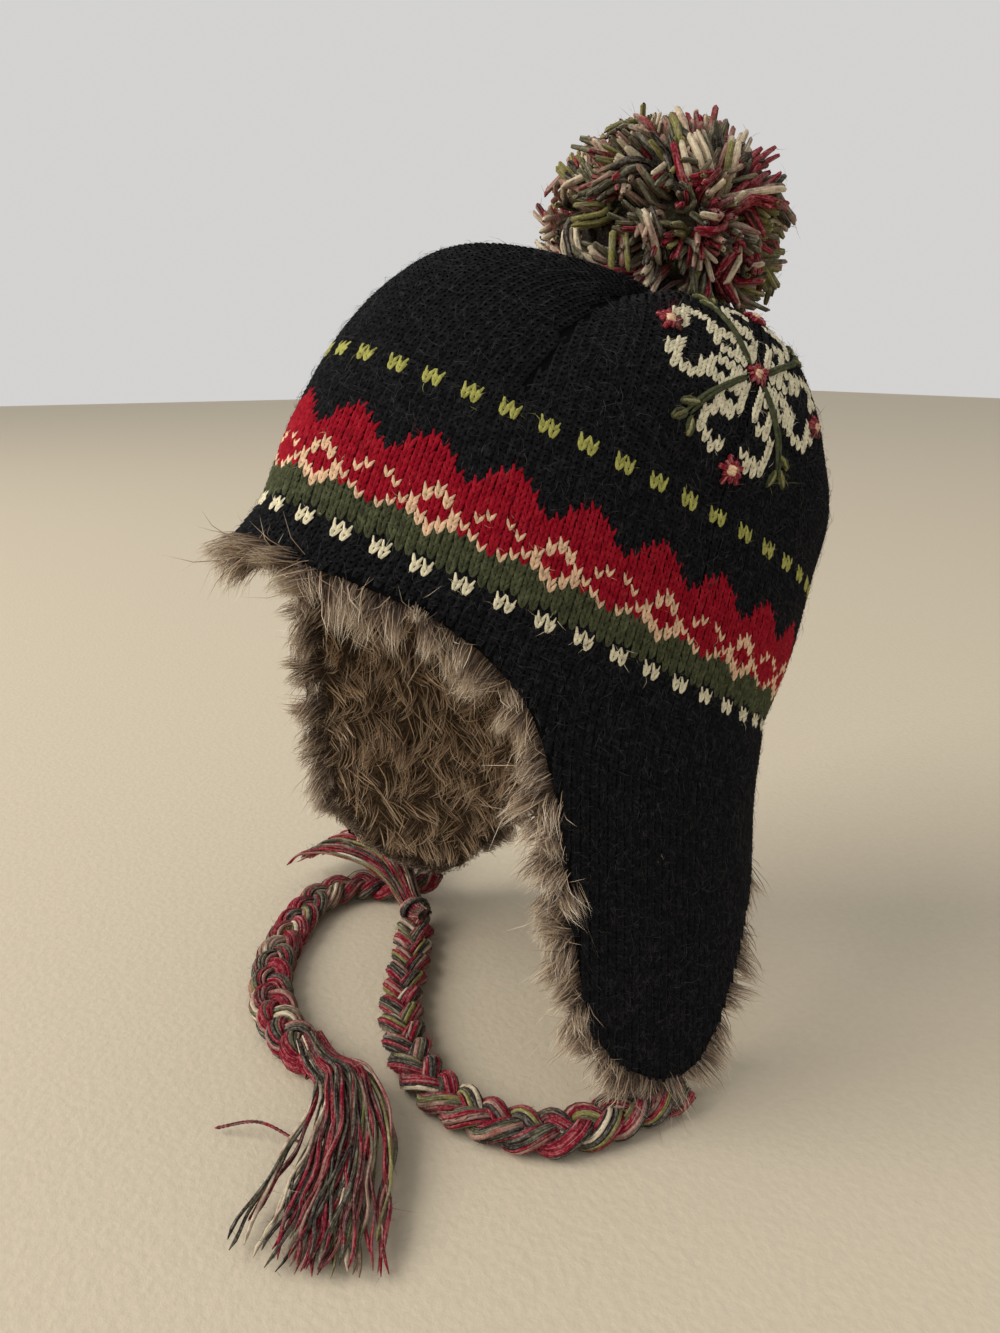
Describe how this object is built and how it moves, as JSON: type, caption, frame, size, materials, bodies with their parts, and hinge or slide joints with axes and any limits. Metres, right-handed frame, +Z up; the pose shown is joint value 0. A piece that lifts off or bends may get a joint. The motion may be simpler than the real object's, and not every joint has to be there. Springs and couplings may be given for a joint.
{
  "type": "earflap beanie",
  "caption": "Knitted winter hat with a pile lining, two earflaps that end in braided ties with tassels, and a yarn pompom on its four-lobed crown.",
  "frame": {"origin": "centre of the head opening, in the tilted plane of the lowest row of dashes, where a head holds the hat", "axes": "+Z up as worn, front (brow) toward -Y, wearer's left toward +X"},
  "size_m": [0.2722, 0.2937, 0.37],
  "materials": {
    "wool_knit": "black double knit with a crimson, olive, lime and cream band",
    "pile_lining": "taupe long pile with pale tips",
    "pompom_yarn": "mixed crimson, sage, ecru and charcoal yarn",
    "braid_yarn": "three braided strands of mixed yarn",
    "tassel_yarn": "loose cut ends of mixed yarn"
  },
  "bodies": {
    "root": {"knit_shell": "wool_knit", "fur_lining": "pile_lining", "pompom": "pompom_yarn", "left_braid": "braid_yarn", "right_braid": "braid_yarn", "left_tassel": "tassel_yarn", "right_tassel": "tassel_yarn"}
  },
  "joints": []
}
